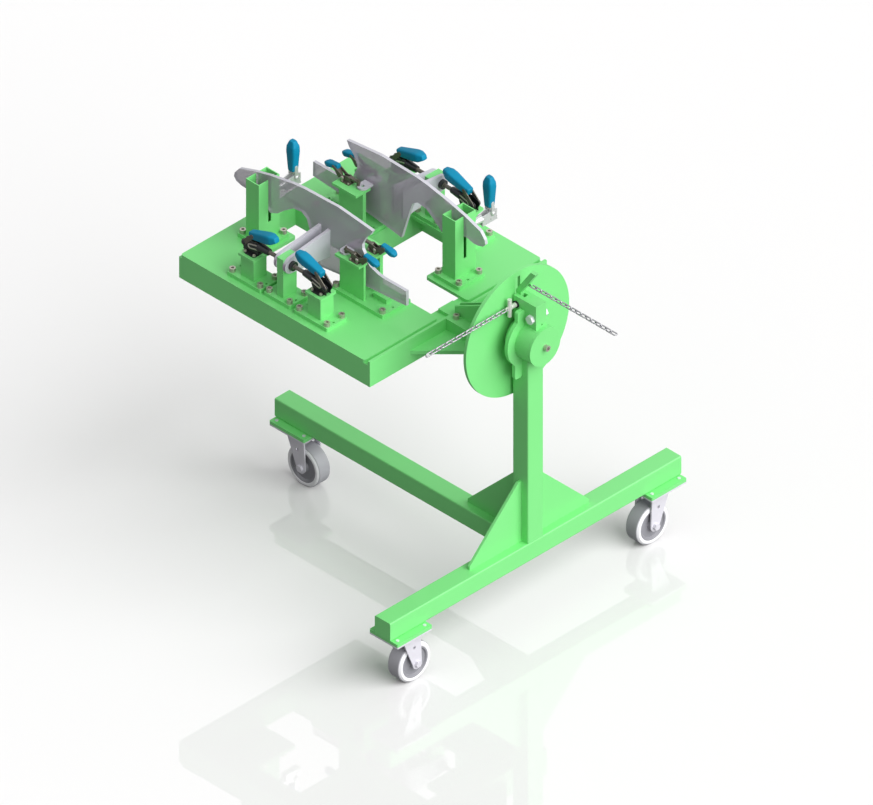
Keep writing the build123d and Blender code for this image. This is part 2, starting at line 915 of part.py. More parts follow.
def corner_spots(x, y, long, wide):
    """Four screw places inside a base plate."""
    return [(x + a * (long / 2 - screw_inset), y + b * (wide / 2 - screw_inset))
            for a in (-1, 1) for b in (-1, 1)]


def base_sketch(x, y, long, wide, spots):
    """Outline of a base plate with its screw and dowel holes."""
    with BuildSketch(xy(table_z)) as base:
        with Locations((x, y)):
            RectangleRounded(long, wide, base_round)
        with Locations(spots):
            Circle(screw_r, mode=Mode.SUBTRACT)
        with Locations((x - long / 2 + 10, y + 6), (x + long / 2 - 10, y - 6)):
            Circle(dowel_r, mode=Mode.SUBTRACT)
    return base.sketch


def slotted_post(side):
    """Open box post with a slot across it, which takes the tip of the work."""
    x = table_x + side * post_x_mid
    y = side * post_y_mid
    base_x = table_x + side * post_base_x
    base_y = side * post_base_y
    spots = corner_spots(base_x, base_y, post_base_long, post_base_wide)
    top = axis_z + post_rise
    with BuildPart() as post:
        extrude(base_sketch(base_x, base_y, post_base_long, post_base_wide, spots), amount=base_thick)
        with BuildSketch(xy(base_top)):
            with Locations((x, y)):
                Rectangle(post_deep, post_wide)
                Rectangle(post_deep - 2 * post_wall, post_wide - 2 * post_wall, mode=Mode.SUBTRACT)
        extrude(amount=top - base_top)
        with BuildSketch(yz(x - post_deep)):
            with Locations((side * work_plane, (top + axis_z + slot_bottom) / 2)):
                Rectangle(slot_width, top - axis_z - slot_bottom)
        extrude(amount=2 * post_deep, mode=Mode.SUBTRACT)
        with BuildSketch(xz(y + post_wide / 2 + 1)):
            with Locations((x, axis_z + side_rise)):
                Circle(side_rod_r + slot_clear)
        extrude(amount=post_wall + 2, mode=Mode.SUBTRACT)
    return post.part, spots


def pedestal(side, offset):
    """Box pedestal that carries one push clamp."""
    x = table_x + side * offset
    y = side * pedestal_y
    spots = corner_spots(x, y, pedestal_base_long, pedestal_base_wide)
    top = axis_z + pedestal_rise
    with BuildPart() as piece:
        extrude(base_sketch(x, y, pedestal_base_long, pedestal_base_wide, spots), amount=base_thick)
        with BuildSketch(xy(base_top)):
            with Locations((x, y)):
                Rectangle(pedestal_side, pedestal_side)
        extrude(amount=top - pedestal_cap - base_top)
        with BuildSketch(xy(top - pedestal_cap)):
            with Locations((x, y)):
                RectangleRounded(pedestal_side + 12, pedestal_side + 12, base_round)
                with GridLocations(2 * clamp_spot_x, 2 * clamp_spot_y, 2, 2):
                    Circle(clamp_screw_r, mode=Mode.SUBTRACT)
        extrude(amount=pedestal_cap)
    return piece.part, spots


def stop_block(side):
    """Upright block between the two lugs of the work, with its own base."""
    x = table_x + side * stop_x
    y = side * stop_y
    spots = corner_spots(x, y, stop_base_long, stop_base_wide)
    with BuildPart() as piece:
        extrude(base_sketch(x, y, stop_base_long, stop_base_wide, spots), amount=base_thick)
        with BuildSketch(xy(base_top)):
            with Locations((x, y)):
                Rectangle(stop_width - 2 * fit_gap, stop_depth)
        extrude(amount=axis_z + stop_rise - base_top)
        with BuildSketch(yz(x - stop_width)):
            with Locations((y - stop_depth / 2, axis_z + stop_seam), (y + stop_depth / 2, axis_z + stop_seam)):
                Rectangle(3, 2)
        extrude(amount=2 * stop_width, mode=Mode.SUBTRACT)
    return piece.part, spots


def side_column(side):
    """Two uprights on one base, either side of the work plate, each with a platform."""
    turn = -side
    middle = table_x + turn * (column_near + column_width / 2)
    base_mid = table_x + turn * (column_base_near + column_base_long / 2)
    base_y = side * column_base_y
    spots = corner_spots(base_mid, base_y, column_base_long, column_base_wide)
    top = axis_z + column_rise
    rest_x = table_x + turn * (column_near + column_width + rest_long / 2 + rest_gap)
    with BuildPart() as piece:
        extrude(base_sketch(base_mid, base_y, column_base_long, column_base_wide, spots), amount=base_thick)
        with BuildSketch(xy(base_top)):
            with Locations((middle, side * outer_column_y)):
                Rectangle(column_width, outer_column_thick)
            with Locations((middle, side * inner_column_y)):
                Rectangle(column_width, inner_column_thick)
        extrude(amount=top - platform_thick - base_top)
        with BuildSketch(xy(base_top)):
            with Locations((rest_x, base_y)):
                Rectangle(rest_long, rest_wide)
        extrude(amount=rest_high)
        with BuildSketch(xy(top - platform_thick)):
            with Locations((middle, side * outer_platform_y)):
                Rectangle(column_width, outer_platform_wide)
            with Locations((middle, side * inner_platform_y)):
                Rectangle(column_width, inner_platform_wide)
            with Locations((table_x + turn * hold_x, side * hold_outer_y),
                           (table_x + turn * hold_x, side * hold_inner_y)):
                with GridLocations(2 * hold_spot_x, 2 * hold_spot_y, 2, 2):
                    Circle(hold_screw_r, mode=Mode.SUBTRACT)
        extrude(amount=platform_thick)
        with BuildSketch(xy(top)):
            with Locations((table_x + turn * tab_x, side * tab_y),
                           (table_x + turn * tab_x, side * inner_tab_y)):
                Circle(tab_r - 4)
        extrude(amount=tab_low - column_rise - fit_gap)
    return piece.part, spots


def work_piece(side):
    """Plate that is being welded, with two lugs and a drilled tab."""
    turn = side
    outline = [(-178, 187), (-46, 201), (92, 197), (134, 192), (217, 176), (278, 160), (339, 139),
               (356, 118), (359, 104), (350, 93), (332, 87), (314, 86), (283, 93), (240, 66), (218, 51), (190, 63),
               (166, 84), (130, 110), (97, 115), (77, 102), (65, 70), (34, -34), (-4, -28),
               (-155, -9), (-309, 2), (-308, 50), (-222, 50), (-202, 52), (-169, 63), (-152, 80),
               (-146, 96), (-138, 108), (-138, 125), (-151, 151), (-168, 168)]
    points = [(table_x + turn * s, axis_z + z) for s, z in outline]
    face = side * work_plane
    with BuildPart() as piece:
        with BuildSketch(xz(face + work_thick / 2)):
            with BuildLine():
                Polyline(*points, close=True)
            make_face()
        extrude(amount=work_thick)
        start = side * (work_plane + work_thick / 2)
        far = side * pedestal_y
        for shift in (-1, 1):
            lug_x = table_x + side * stop_x + shift * (stop_width / 2 + lug_thick / 2) - lug_thick / 2
            with BuildSketch(yz(lug_x)):
                with BuildLine():
                    Polyline((start, axis_z + lug_root_low), (start, axis_z + lug_root_high),
                             (far, axis_z + lug_rise + lug_r), (far, axis_z + lug_rise - lug_r), close=True)
                make_face()
                with Locations((far, axis_z + lug_rise)):
                    Circle(lug_r)
            extrude(amount=lug_thick)
        for tab, root in ((tab_y, work_plane + work_thick / 2), (inner_tab_y, work_plane - work_thick / 2)):
            with BuildSketch(xy(axis_z + tab_low)):
                with Locations((table_x - turn * tab_x, side * tab)):
                    Circle(tab_r)
                with Locations((table_x - turn * tab_x, side * (tab + root) / 2)):
                    Rectangle(2 * tab_r, abs(tab - root))
                with Locations((table_x - turn * tab_x, side * tab)):
                    Circle(tab_hole_r, mode=Mode.SUBTRACT)
            extrude(amount=tab_thick)
    return piece.part


# Clamps

def clamp_side(place, heading):
    """Upright plane along a clamp: its sketch reads as distance ahead and height."""
    return Plane(origin=place, x_dir=(heading[0], heading[1], 0), z_dir=(heading[1], -heading[0], 0))


def clamp_across(place, heading, ahead, up):
    """Plane square to a clamp at a given distance ahead and height."""
    side = clamp_side(place, heading)
    return Plane(origin=side.from_local_coords((ahead, up, 0)),
                 x_dir=(heading[1], -heading[0], 0), z_dir=(heading[0], heading[1], 0))


def push_frame(place, heading, size, foot_low, barrel_back, barrel_front, wide_foot):
    """Foot, barrel and two cheeks of a push clamp, with the rod axis at local height zero."""
    side = clamp_side(place, heading)
    rod, barrel, back, pivot, pivot_up = size
    with BuildPart() as frame:
        for shift in (cheek_gap, -cheek_gap - cheek_thick):
            with BuildSketch(side.offset(shift)):
                with BuildLine():
                    Polyline((barrel_back + 4, foot_low), (barrel_back + 4, barrel - 3),
                             (pivot, pivot_up + 11), (back, pivot_up + 8), (back, foot_low), close=True)
                make_face()
                with Locations((pivot, pivot_up)):
                    Circle(pivot_r, mode=Mode.SUBTRACT)
            extrude(amount=cheek_thick)
        with BuildSketch(clamp_across(place, heading, barrel_back, 0)):
            Circle(barrel)
        extrude(amount=barrel_front - barrel_back, taper=barrel_taper)
        with BuildSketch(side):
            with Locations(((barrel_back + back) / 2, foot_low + foot_thick / 2)):
                Rectangle(barrel_back - back + 4, foot_thick)
        extrude(amount=cheek_gap + cheek_thick, both=True)
        if wide_foot:
            with BuildSketch(Plane(origin=(place[0], place[1], place[2] + foot_low))):
                RectangleRounded(2 * foot_half, 2 * foot_half, base_round)
                with GridLocations(2 * clamp_spot_x, 2 * clamp_spot_y, 2, 2):
                    Circle(clamp_screw_r, mode=Mode.SUBTRACT)
            extrude(amount=foot_thick)
        with BuildSketch(clamp_across(place, heading, barrel_back - 1, 0)):
            Circle(rod + rod_fit)
        extrude(amount=barrel_front - barrel_back + 2, mode=Mode.SUBTRACT)
    return frame.part


def push_rod(place, heading, rod, pad, pad_long, tail, reach):
    """Rod of a push clamp with the pad on its tip."""
    with BuildPart() as piece:
        with BuildSketch(clamp_across(place, heading, tail, 0)):
            Circle(rod)
        extrude(amount=reach - tail)
        with BuildSketch(clamp_across(place, heading, reach - pad_long, 0)):
            Circle(pad)
        extrude(amount=pad_long)
    return piece.part


def lever(place, heading, pivot, grip_from, grip_to, width, thick_r, gap):
    """Two links from the pivot to a round grip."""
    side = clamp_side(place, heading)
    run = (grip_to[0] - grip_from[0], grip_to[1] - grip_from[1])
    length = hypot(*run)
    unit = (run[0] / length, run[1] / length)
    start = side.from_local_coords((grip_from[0], grip_from[1], 0))
    direction = side.x_dir * unit[0] + Vector(0, 0, 1) * unit[1]
    inner = (grip_from[0] + unit[0] * 12, grip_from[1] + unit[1] * 12)
    arm = (inner[0] - pivot[0], inner[1] - pivot[1])
    arm_long = hypot(*arm)
    nx, nz = -arm[1] / arm_long * width, arm[0] / arm_long * width
    with BuildPart() as piece:
        for shift in (gap, -gap - lever_thick):
            with BuildSketch(side.offset(shift)):
                with BuildLine():
                    Polyline((pivot[0] + nx, pivot[1] + nz), (inner[0] + nx * 0.7, inner[1] + nz * 0.7),
                             (inner[0] - nx * 0.7, inner[1] - nz * 0.7), (pivot[0] - nx, pivot[1] - nz),
                             close=True)
                make_face()
                with Locations(pivot):
                    Circle(width)
            extrude(amount=lever_thick)
            with BuildSketch(side.offset(shift if shift < 0 else shift + lever_thick)):
                with Locations(pivot):
                    Circle(pivot_r - rod_fit)
            extrude(amount=(lever_thick + lever_gap + cheek_thick) * (1 if shift < 0 else -1))
        with BuildSketch(Plane(origin=start, x_dir=side.z_dir, z_dir=direction)):
            RectangleRounded(2 * (gap + lever_thick), 2 * thick_r, thick_r - 1)
        extrude(amount=length)
    return piece.part


def make_clamps():
    """Every clamp of both stations: frame, handle and rod or arm of each."""
    frames, screws = [], []
    for side, name in ((-1, "front"), (1, "rear")):
        for offset, label in ((pedestal_out, "outer"), (pedestal_in, "inner")):
            x = table_x + side * offset
            stop = table_x + side * stop_x
            ahead = 1 if stop > x else -1
            place = (x, side * pedestal_y, axis_z + rod_rise)
            foot_top = axis_z + pedestal_rise + foot_thick
            screws += [small_screw((x + a * clamp_spot_x, place[1] + b * clamp_spot_y, foot_top), clamp_screw_r,
                                   foot_thick + pedestal_cap, clamp_head_r, clamp_head_h)
                       for a in (-1, 1) for b in (-1, 1)]
            reach = abs(stop - x) - stop_width / 2 - lug_thick - fit_gap
            frames.append(push_frame(place, (ahead, 0), (rod_r, barrel_r, push_back, push_pivot[0], push_pivot[1]),
                                     pedestal_rise - rod_rise, barrel_start, barrel_end, True))
            handle = lever(place, (ahead, 0), push_pivot, push_grip_from, push_grip_to, lever_half, grip_half,
                           cheek_gap + cheek_thick + lever_gap)
            save(f"push_handle_{name}_{label}", handle)
            save(f"push_rod_{name}_{label}",
                 push_rod(place, (ahead, 0), rod_r, pad_r, pad_length, push_tail, reach))
    save("push_clamp_frames", *frames)

    frames = []
    for side, name in ((-1, "front"), (1, "rear")):
        face = side * post_y_mid + post_wide / 2
        place = (table_x + side * post_x_mid, face, axis_z + side_rise)
        reach = face - side * work_plane - work_thick / 2 - fit_gap
        frames.append(side_frame(place))
        handle = lever(place, (0, -1), side_pivot, side_grip_from, side_grip_to, lever_half, grip_half,
                       cheek_gap + cheek_thick + lever_gap)
        save(f"side_handle_{name}", handle)
        save(f"side_rod_{name}",
             push_rod(place, (0, -1), side_rod_r, side_pad_r, side_pad_length, side_tail, reach))
    save("side_clamp_frames", *frames)

    frames = []
    for side, name in ((-1, "front"), (1, "rear")):
        turn = -side
        for y, label in ((hold_outer_y, "outer"), (hold_inner_y, "inner")):
            place = (table_x + turn * hold_x, side * y, axis_z + column_rise)
            heading = (-turn, 0)
            frames.append(hold_frame(place, heading))
            screws += [small_screw((place[0] + a * hold_spot_x, place[1] + b * hold_spot_y,
                                    place[2] + hold_base_thick), hold_screw_r,
                                   hold_base_thick + platform_thick, hold_head_r, hold_head_h)
                       for a in (-1, 1) for b in (-1, 1)]
            handle = lever(place, heading, hold_lever, hold_grip_from, hold_grip_to, hold_lever_half, hold_grip_half,
                           hold_gap + hold_cheek + lever_gap)
            save(f"hold_handle_{name}_{label}", handle)
            drop = tab_low + tab_thick - column_rise + fit_gap
            save(f"hold_arm_{name}_{label}", hold_arm(place, heading, drop))
    save("hold_down_frames", *frames)
    save("clamp_screws", *screws)


def small_screw(place, shank_r, shank, head_r, head_high):
    """Socket screw of a clamp, its head resting at a place and its shank below."""
    plane = Plane(origin=place)
    with BuildPart() as screw:
        with BuildSketch(plane):
            Circle(head_r)
        extrude(amount=head_high)
        with BuildSketch(plane.offset(head_high)):
            RegularPolygon(head_r * 0.55, 6)
        extrude(amount=-head_high / 2, mode=Mode.SUBTRACT)
        with BuildSketch(plane.offset(-shank)):
            RegularPolygon(shank_r, 12)
        extrude(amount=shank)
    return screw.part


def side_frame(place):
    """Flange on the post, barrel and cheeks of a side clamp."""
    frame = push_frame(place, (0, -1), (side_rod_r, side_barrel_r, side_back, side_pivot[0], side_pivot[1]),
                       side_low, side_barrel_back, 0, False)
    with BuildPart() as piece:
        add(frame)
        with BuildSketch(clamp_across(place, (0, -1), -side_flange_thick, 0)):
            Rectangle(side_flange_wide, side_flange_high)
            Circle(side_barrel_r - 1, mode=Mode.SUBTRACT)
        extrude(amount=side_flange_thick)
    return piece.part


def hold_frame(place, heading):
    """Base and two cheeks of a hold-down clamp."""
    side = clamp_side(place, heading)
    with BuildPart() as frame:
        with BuildSketch(xy(place[2])):
            with Locations((place[0], place[1])):
                RectangleRounded(hold_base_long, hold_base_wide, 3)
                with GridLocations(2 * hold_spot_x, 2 * hold_spot_y, 2, 2):
                    Circle(hold_screw_r, mode=Mode.SUBTRACT)
        extrude(amount=hold_base_thick)
        for shift in (hold_gap, -hold_gap - hold_cheek):
            with BuildSketch(side.offset(shift)):
                with BuildLine():
                    Polyline((-hold_base_long / 2, hold_base_thick), (-hold_base_long / 2 - 2, hold_lever[1] + 5),
                             (hold_pivot[0] - 2, hold_pivot[1] + 6), (hold_pivot[0] + 6, hold_pivot[1] + 3),
                             (hold_base_long / 2, hold_base_thick), close=True)
                make_face()
                with Locations(hold_lever, hold_pivot):
                    Circle(pivot_r, mode=Mode.SUBTRACT)
            extrude(amount=hold_cheek)
    return frame.part


def hold_arm(place, heading, drop):
    """Arm of a hold-down clamp with the spindle bolt that presses on the work."""
    side = clamp_side(place, heading)
    low = hold_pivot[1] - 4
    with BuildPart() as arm:
        with BuildSketch(side.offset(-hold_gap + lever_gap)):
            with BuildLine():
                Polyline((hold_pivot[0], low), (hold_reach + 5, low + 2), (hold_reach + 5, low + 8),
                         (hold_pivot[0], low + 8), close=True)
            make_face()
            with Locations(hold_pivot):
                Circle(5)
        extrude(amount=2 * (hold_gap - lever_gap))
        with BuildSketch(side.offset(-hold_gap - hold_cheek)):
            with Locations(hold_pivot):
                Circle(pivot_r - rod_fit)
        extrude(amount=2 * (hold_gap + hold_cheek))
        tip = side.from_local_coords((hold_reach, drop, 0))
        with BuildSketch(Plane(origin=tip)):
            Circle(spindle_bolt_r + 2)
        extrude(amount=4)
        with BuildSketch(Plane(origin=tip)):
            Circle(spindle_bolt_r)
        extrude(amount=low + 14 - drop)
    return arm.part


def make_stations():
    """Supports, work pieces and clamps of both stations, and their screws."""
    posts, pedestals, stops, columns, spots = [], [], [], [], []
    for side, name in ((-1, "front"), (1, "rear")):
        piece, found = slotted_post(side)
        posts.append(piece)
        spots += found
        for offset in (pedestal_out, pedestal_in):
            piece, found = pedestal(side, offset)
            pedestals.append(piece)
            spots += found
        piece, found = stop_block(side)
        stops.append(piece)
        spots += found
        piece, found = side_column(side)
        columns.append(piece)
        spots += found
        save(f"work_piece_{name}", work_piece(side))
    save("slotted_posts", *posts)
    save("pedestals", *pedestals)
    save("stop_blocks", *stops)
    save("side_columns", *columns)
    return spots


def make_screws(station_spots, carrier_spots):
    """Cap screws of the table, and the hex bolts of the stand."""
    screws = [cap_screw(Plane(origin=(x, y, base_top)), base_thick) for x, y in station_spots]
    tongue_top = frame_top + tongue_thick
    screws += [cap_screw(Plane(origin=(x, y, tongue_top)), tongue_thick + socket_thick)
               for x, y in carrier_spots]
    cap_face = Plane(origin=(housing_front + end_cap_gap + end_cap_thick, 0, axis_z),
                     x_dir=(0, 1, 0), z_dir=(1, 0, 0))
    screws.append(cap_screw(cap_face, end_cap_thick + 25))
    save("cap_screws", *screws)


def head_bolt():
    """Hex bolt through the block that carries the pawl, with its nut."""
    with BuildPart() as bolt:
        for start, length, sides in ((block_width / 2 + 13, 13, 6), (block_width / 2, block_width, 0),
                                     (-block_width / 2, 10, 6)):
            with BuildSketch(xz(start)):
                with Locations(head_points((head_bolt_x, head_bolt_rise))):
                    if sides:
                        RegularPolygon(13.8, sides)
                    else:
                        Circle(head_bolt_r)
            extrude(amount=length)
    return bolt.part


make_stand()
frame_bolts = make_casters()
save("frame_bolts", *frame_bolts, head_bolt())
make_head()
make_pawl()
make_chains(make_release())
make_turning_head()
make_table()
carrier_spots = make_carrier()
station_spots = make_stations()
make_clamps()
make_screws(station_spots, carrier_spots)
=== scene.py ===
"""Looks of the turn-over welding fixture: finishes, hand grips, links, chains and the studio."""

import bpy
import numpy as np
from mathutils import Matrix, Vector


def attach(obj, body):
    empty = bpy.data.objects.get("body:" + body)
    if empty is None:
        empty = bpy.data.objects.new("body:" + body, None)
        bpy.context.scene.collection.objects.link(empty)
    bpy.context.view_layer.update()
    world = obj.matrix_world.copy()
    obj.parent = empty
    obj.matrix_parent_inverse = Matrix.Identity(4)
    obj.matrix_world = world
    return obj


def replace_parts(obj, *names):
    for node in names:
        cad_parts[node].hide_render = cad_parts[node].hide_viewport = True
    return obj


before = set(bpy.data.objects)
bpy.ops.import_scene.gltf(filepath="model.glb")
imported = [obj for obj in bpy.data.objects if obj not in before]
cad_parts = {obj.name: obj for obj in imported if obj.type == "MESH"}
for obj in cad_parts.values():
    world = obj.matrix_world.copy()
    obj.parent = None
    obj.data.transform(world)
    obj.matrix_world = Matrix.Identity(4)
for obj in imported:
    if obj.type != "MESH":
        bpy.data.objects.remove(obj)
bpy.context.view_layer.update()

# Places in the shared frame, in metres
POST_X = 0.3323
AXIS_Z = 0.910
TABLE_X = POST_X - 0.6475
PUSH_Y = 0.282
PUSH_Z = AXIS_Z + 0.066
PUSH_OUTER, PUSH_INNER = 0.1335, -0.1255
SIDE_REACH = 0.2505
SIDE_Y = 0.130
SIDE_PLUNGE = 0.040
SIDE_Z = AXIS_Z + 0.092
HOLD_REACH = 0.1405
HOLD_OUTER, HOLD_INNER = 0.158, 0.090
HOLD_Z = AXIS_Z + 0.083
WHEEL_Y = 0.461
WHEEL_BACK = 0.849
WHEEL_R = 0.0625

# Sizes that the shaders part by
WHEEL_HUB_R = 0.0482
WHEEL_TREAD_R = 0.0605
SIDE_ROD_R = 0.0062
PUSH_ROD_R = 0.0075
SHADE_STEP = 0.0006
ROUGH_SPREAD = 0.08

# Colour sockets of a Mix node
MIX_A, MIX_B, MIX_OUT = 6, 7, 2


def shade(hex_colour):
    """Linear colour of a written sRGB colour such as 4a5b6c."""
    parts = np.array([int(hex_colour[i:i + 2], 16) for i in (0, 2, 4)]) / 255
    line = np.where(parts <= 0.04045, parts / 12.92, ((parts + 0.055) / 1.055) ** 2.4)
    return (*line, 1.0)


# Shader groups

def new_group(name, numbers, outputs):
    """Empty shader group with number inputs and the named outputs."""
    tree = bpy.data.node_groups.new(name, "ShaderNodeTree")
    for label, value in numbers:
        socket = tree.interface.new_socket(label, in_out="INPUT", socket_type="NodeSocketFloat")
        socket.default_value = value
    for label in outputs:
        tree.interface.new_socket(label, in_out="OUTPUT", socket_type="NodeSocketFloat")
    return tree, tree.nodes.new("NodeGroupInput"), tree.nodes.new("NodeGroupOutput")


def make_cloud():
    """Soft mottle and fine grain: two noises of different size on the object's own place."""
    tree, into, out = new_group("surface_cloud", (("Mottle", 9.0), ("Grain", 900.0), ("Stretch", 1.0)),
                                ("Mottle", "Grain"))
    place = tree.nodes.new("ShaderNodeTexCoord")
    pull = tree.nodes.new("ShaderNodeCombineXYZ")
    for axis in ("Y", "Z"):
        pull.inputs[axis].default_value = 1.0
    tree.links.new(into.outputs["Stretch"], pull.inputs["X"])
    drawn = tree.nodes.new("ShaderNodeVectorMath")
    drawn.operation = "MULTIPLY"
    tree.links.new(place.outputs["Object"], drawn.inputs[0])
    tree.links.new(pull.outputs[0], drawn.inputs[1])
    for label, detail in (("Mottle", 3.0), ("Grain", 2.0)):
        noise = tree.nodes.new("ShaderNodeTexNoise")
        noise.inputs["Detail"].default_value = detail
        tree.links.new(drawn.outputs[0], noise.inputs["Vector"])
        tree.links.new(into.outputs[label], noise.inputs["Scale"])
        tree.links.new(noise.outputs["Fac"], out.inputs[label])
    return tree


def make_edge():
    """Mask for a painted highlight on the rims where faces meet: how far the bevelled normal leaves the
    true one.
    """
    tree, into, out = new_group("rim_light", (("Radius", 0.0015),), ("Edge",))
    bevel = tree.nodes.new("ShaderNodeBevel")
    bevel.samples = 4
    tree.links.new(into.outputs["Radius"], bevel.inputs["Radius"])
    place = tree.nodes.new("ShaderNodeNewGeometry")
    match = tree.nodes.new("ShaderNodeVectorMath")
    match.operation = "DOT_PRODUCT"
    tree.links.new(bevel.outputs[0], match.inputs[0])
    tree.links.new(place.outputs["True Normal"], match.inputs[1])
    spread = tree.nodes.new("ShaderNodeMapRange")
    spread.inputs["From Min"].default_value = 0.99
    spread.inputs["From Max"].default_value = 0.75
    tree.links.new(match.outputs["Value"], spread.inputs["Value"])
    tree.links.new(spread.outputs[0], out.inputs["Edge"])
    return tree


CLOUD = make_cloud()
EDGE = make_edge()


def finish_material(name, base, dark, rough, metal=0.0, coat=0.0, mottle=9.0, grain=900.0, stretch=1.0,
                    bump=0.02, edge=0.25, light=None):
    """Surface that wanders between two shades with its mottle, with a painted highlight in its light
    colour at the rims, and a fine grain.
    """
    material = bpy.data.materials.new(name)
    material.use_nodes = True
    nodes, links = material.node_tree.nodes, material.node_tree.links
    shader = nodes["Principled BSDF"]
    shader.inputs["Metallic"].default_value = metal
    shader.inputs["Coat Weight"].default_value = coat
    cloud = nodes.new("ShaderNodeGroup")
    cloud.node_tree = CLOUD
    cloud.inputs["Mottle"].default_value = mottle
    cloud.inputs["Grain"].default_value = grain
    cloud.inputs["Stretch"].default_value = stretch
    rim = nodes.new("ShaderNodeGroup")
    rim.node_tree = EDGE
    tint = nodes.new("ShaderNodeMix")
    tint.data_type = "RGBA"
    tint.inputs[MIX_A].default_value = shade(dark)
    tint.inputs[MIX_B].default_value = shade(base)
    links.new(cloud.outputs["Mottle"], tint.inputs[0])
    # Painted highlight: the light colour mixed in at the rims, as strong as edge
    painted_rim_highlight = nodes.new("ShaderNodeMix")
    painted_rim_highlight.data_type = "RGBA"
    painted_rim_highlight.inputs[MIX_B].default_value = shade(light or base)
    links.new(tint.outputs[MIX_OUT], painted_rim_highlight.inputs[MIX_A])
    less = nodes.new("ShaderNodeMath")
    less.operation = "MULTIPLY"
    less.inputs[1].default_value = edge
    links.new(rim.outputs["Edge"], less.inputs[0])
    links.new(less.outputs[0], painted_rim_highlight.inputs[0])
    links.new(painted_rim_highlight.outputs[MIX_OUT], shader.inputs["Base Color"])
    gloss = nodes.new("ShaderNodeMapRange")
    gloss.inputs["To Min"].default_value = rough - ROUGH_SPREAD
    gloss.inputs["To Max"].default_value = rough + ROUGH_SPREAD
    links.new(cloud.outputs["Mottle"], gloss.inputs["Value"])
    links.new(gloss.outputs[0], shader.inputs["Roughness"])
    relief = nodes.new("ShaderNodeBump")
    relief.inputs["Strength"].default_value = bump
    relief.inputs["Distance"].default_value = 0.0005
    links.new(cloud.outputs["Grain"], relief.inputs["Height"])
    links.new(relief.outputs[0], shader.inputs["Normal"])
    return material


# The light colour of each finish is a painted highlight on its rims
GREEN = finish_material("green_powder_coat", "7ddf83", "78d97e", 0.42, coat=0.1, bump=0.05, edge=0.3,
                        light="9bf0a4", mottle=5.0, grain=700.0)
BLACK = finish_material("blackened_steel", "25272a", "1b1d1f", 0.36, metal=0.2, bump=0.06, light="43474a",
                        edge=0.35)
BRONZE = finish_material("oiled_steel", "69655a", "57534a", 0.38, metal=0.35, bump=0.05, light="9a9587",
                         edge=0.5)
SCREW = finish_material("screw_steel", "c2beb4", "a8a499", 0.3, metal=0.7, bump=0.05, light="f0ede6",
                        edge=0.5, mottle=120.0)
STEEL = finish_material("ground_steel", "d2d3d4", "bcbdbe", 0.22, metal=0.9, bump=0.06, light="f4f4f4",
                        mottle=60.0, stretch=0.15)
CAST = finish_material("machined_aluminium", "dcdddd", "c9caca", 0.3, metal=0.5, bump=0.04, light="f7f7f7",
                       mottle=80.0, stretch=0.2)
SHEET = finish_material("work_sheet", "cbbdd0", "c1b4c6", 0.35, bump=0.03, light="d8d8de", edge=0.6,
                        mottle=12.0)
GRIP = finish_material("blue_grip", "0588ad", "047da0", 0.48, bump=0.04, light="0f96bb",
                       mottle=30.0, grain=1500.0, edge=0.3)
GRIP.node_tree.nodes["Principled BSDF"].inputs["Specular IOR Level"].default_value = 0.2
CHAIN = finish_material("chain_steel", "b9b9bd", "929297", 0.26, metal=0.6, bump=0.05, light="ffffff",
                        mottle=150.0)
PIN = finish_material("bright_pin", "e6e4e0", "d8d6d2", 0.3, metal=0.25, bump=0.04, light="ffffff",
                      mottle=60.0)
FORK = finish_material("bright_fork", "e2e0e8", "d6d4dc", 0.36, metal=0.15, bump=0.04, light="ffffff",
                       mottle=40.0)


def sheet_faces(material):
    """The sheet's broad faces let light through, and its cut faces and lugs are pale: parted by
    the slant of the normal from the Y axis."""
    nodes, links = material.node_tree.nodes, material.node_tree.links
    shader = nodes["Principled BSDF"]
    place = nodes.new("ShaderNodeTexCoord")
    split = nodes.new("ShaderNodeSeparateXYZ")
    links.new(place.outputs["Normal"], split.inputs[0])
    flat = nodes.new("ShaderNodeMath")
    flat.operation = "ABSOLUTE"
    links.new(split.outputs["Y"], flat.inputs[0])
    broad = nodes.new("ShaderNodeMapRange")
    broad.inputs["From Min"].default_value = 0.85
    broad.inputs["From Max"].default_value = 0.95
    links.new(flat.outputs[0], broad.inputs["Value"])
    pale = nodes.new("ShaderNodeMix")
    pale.data_type = "RGBA"
    pale.inputs[MIX_A].default_value = shade("c9c8d1")
    links.new(shader.inputs["Base Color"].links[0].from_socket, pale.inputs[MIX_B])
    links.new(broad.outputs[0], pale.inputs[0])
    links.new(pale.outputs[MIX_OUT], shader.inputs["Base Color"])
    clear = nodes.new("ShaderNodeMapRange")
    clear.inputs["To Min"].default_value = 0.97
    clear.inputs["To Max"].default_value = 0.63
    links.new(broad.outputs[0], clear.inputs["Value"])
    links.new(clear.outputs[0], shader.inputs["Alpha"])


sheet_faces(SHEET)


